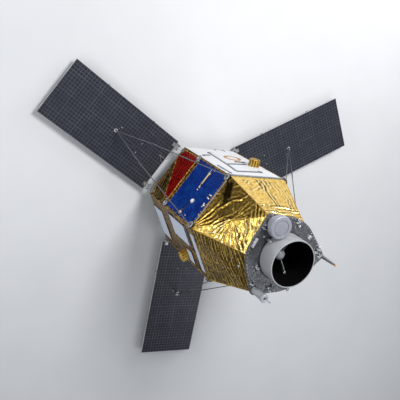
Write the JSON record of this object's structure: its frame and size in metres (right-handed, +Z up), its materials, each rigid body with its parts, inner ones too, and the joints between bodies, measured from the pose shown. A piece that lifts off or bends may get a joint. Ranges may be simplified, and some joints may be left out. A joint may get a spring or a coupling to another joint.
{
  "type": "earth observation satellite",
  "caption": "Hexagonal satellite with a gold foil cone, an open telescope barrel on a lobed plate, and hinged solar wings held by folding struts.",
  "frame": {"origin": "centre of the launch ring's lower face, where the satellite is bolted down", "axes": "+Z up along the telescope's line of sight, +Y out along the first wing, -Z out of the launch ring's face"},
  "size_m": [5.8036, 5.0261, 3.166],
  "materials": {
    "ring_metal": "machined",
    "deck_metal": "satin",
    "gold_foil": "crinkled gold foil",
    "red_foil": "crinkled red foil",
    "white_paint": "matt",
    "edge_metal": "satin",
    "white_tile": "matt",
    "gold_band": "satin",
    "gold_pleats": "satin",
    "rod_gold": "satin",
    "sensor_white": "satin",
    "plate_silver": "speckled",
    "tube_white": "matt",
    "mirror_glass": "polished",
    "baffle_black": "matt",
    "hub_grey": "satin",
    "vane_grey": "satin",
    "drum_grey": "satin",
    "barrel_grey": "satin",
    "mast_grey": "satin",
    "bracket_silver": "satin",
    "blue_radiator": "speckled",
    "wing_panel": "dark cells with a pale grid",
    "arm_silver": "satin",
    "damper_silver": "satin",
    "strut_metal": "satin"
  },
  "bodies": {
    "bus": {"launch_ring": "ring_metal", "base_deck": "deck_metal", "bus_core": "gold_foil", "red_shield": "red_foil", "white_panel": "white_paint", "front_edge_strip": "edge_metal", "white_tiles": "white_tile", "rear_white_panel": "white_paint", "ring_band": "gold_band", "gold_box_1": "gold_pleats", "gold_box_2": "gold_pleats", "rod_antenna": "rod_gold", "round_sensor": "sensor_white", "payload_cone": "gold_foil", "instrument_plate": "plate_silver", "telescope_tube": "tube_white", "primary_mirror": "mirror_glass", "central_baffle": "baffle_black", "secondary_mirror": "hub_grey", "spider_vanes": "vane_grey", "capped_drum": "drum_grey", "small_barrel": "barrel_grey", "mast_foot": "bracket_silver", "tapered_mast": "mast_grey", "hinge_brackets_1": "bracket_silver", "upper_strut_brackets_1": "bracket_silver", "lower_corner_brackets_1": "bracket_silver", "radiator_panel_1": "blue_radiator", "hinge_brackets_2": "bracket_silver", "upper_strut_brackets_2": "bracket_silver", "lower_corner_brackets_2": "bracket_silver", "radiator_panel_2": "blue_radiator", "hinge_brackets_3": "bracket_silver", "upper_strut_brackets_3": "bracket_silver", "lower_corner_brackets_3": "bracket_silver", "radiator_panel_3": "blue_radiator"},
    "wing_1": {"wing_panel_1": "wing_panel", "hinge_arms_1": "arm_silver", "hinge_damper_1": "damper_silver", "strut_knob_1": "bracket_silver", "edge_fittings_1": "arm_silver"},
    "fork_1": {"strut_fork_1": "strut_metal"},
    "rods_1": {"strut_rods_1": "strut_metal"},
    "wing_2": {"wing_panel_2": "wing_panel", "hinge_arms_2": "arm_silver", "hinge_damper_2": "damper_silver", "strut_knob_2": "bracket_silver", "edge_fittings_2": "arm_silver"},
    "fork_2": {"strut_fork_2": "strut_metal"},
    "rods_2": {"strut_rods_2": "strut_metal"},
    "wing_3": {"wing_panel_3": "wing_panel", "hinge_arms_3": "arm_silver", "hinge_damper_3": "damper_silver", "strut_knob_3": "bracket_silver", "edge_fittings_3": "arm_silver"},
    "fork_3": {"strut_fork_3": "strut_metal"},
    "rods_3": {"strut_rods_3": "strut_metal"}
  },
  "joints": [
    {"name": "wing_1_hinge", "type": "hinge", "parent": "bus", "child": "wing_1", "pos_m": [0, 0.87422, 0.1545], "axis": [1, 0, 0], "range_deg": [0, 90]},
    {"name": "fork_1_pivot", "type": "hinge", "parent": "wing_1", "child": "fork_1", "pos_m": [0, 1.89972, 0.1508], "axis": [1, 0, 0], "range_deg": [0, 58]},
    {"name": "rods_1_pivot", "type": "hinge", "parent": "bus", "child": "rods_1", "pos_m": [0, 0.86022, 1.8125], "axis": [1, 0, 0], "range_deg": [-32.2, 0]},
    {"name": "wing_2_hinge", "type": "hinge", "parent": "bus", "child": "wing_2", "pos_m": [-0.7571, -0.43711, 0.1545], "axis": [-0.5, 0.866, 0], "range_deg": [0, 90]},
    {"name": "fork_2_pivot", "type": "hinge", "parent": "wing_2", "child": "fork_2", "pos_m": [-1.64521, -0.94986, 0.1508], "axis": [-0.5, 0.866, 0], "range_deg": [0, 58]},
    {"name": "rods_2_pivot", "type": "hinge", "parent": "bus", "child": "rods_2", "pos_m": [-0.74498, -0.43011, 1.8125], "axis": [-0.5, 0.866, 0], "range_deg": [-32.2, 0]},
    {"name": "wing_3_hinge", "type": "hinge", "parent": "bus", "child": "wing_3", "pos_m": [0.7571, -0.43711, 0.1545], "axis": [-0.5, -0.866, 0], "range_deg": [0, 90]},
    {"name": "fork_3_pivot", "type": "hinge", "parent": "wing_3", "child": "fork_3", "pos_m": [1.64521, -0.94986, 0.1508], "axis": [-0.5, -0.866, 0], "range_deg": [0, 58]},
    {"name": "rods_3_pivot", "type": "hinge", "parent": "bus", "child": "rods_3", "pos_m": [0.74498, -0.43011, 1.8125], "axis": [-0.5, -0.866, 0], "range_deg": [-32.2, 0]}
  ],
  "couplings": [
    {"joint": "fork_1_pivot", "follows": "wing_1_hinge", "ratio": 0.64333},
    {"joint": "rods_1_pivot", "follows": "wing_1_hinge", "ratio": -0.35667},
    {"joint": "fork_2_pivot", "follows": "wing_2_hinge", "ratio": 0.64333},
    {"joint": "rods_2_pivot", "follows": "wing_2_hinge", "ratio": -0.35667},
    {"joint": "fork_3_pivot", "follows": "wing_3_hinge", "ratio": 0.64333},
    {"joint": "rods_3_pivot", "follows": "wing_3_hinge", "ratio": -0.35667}
  ]
}
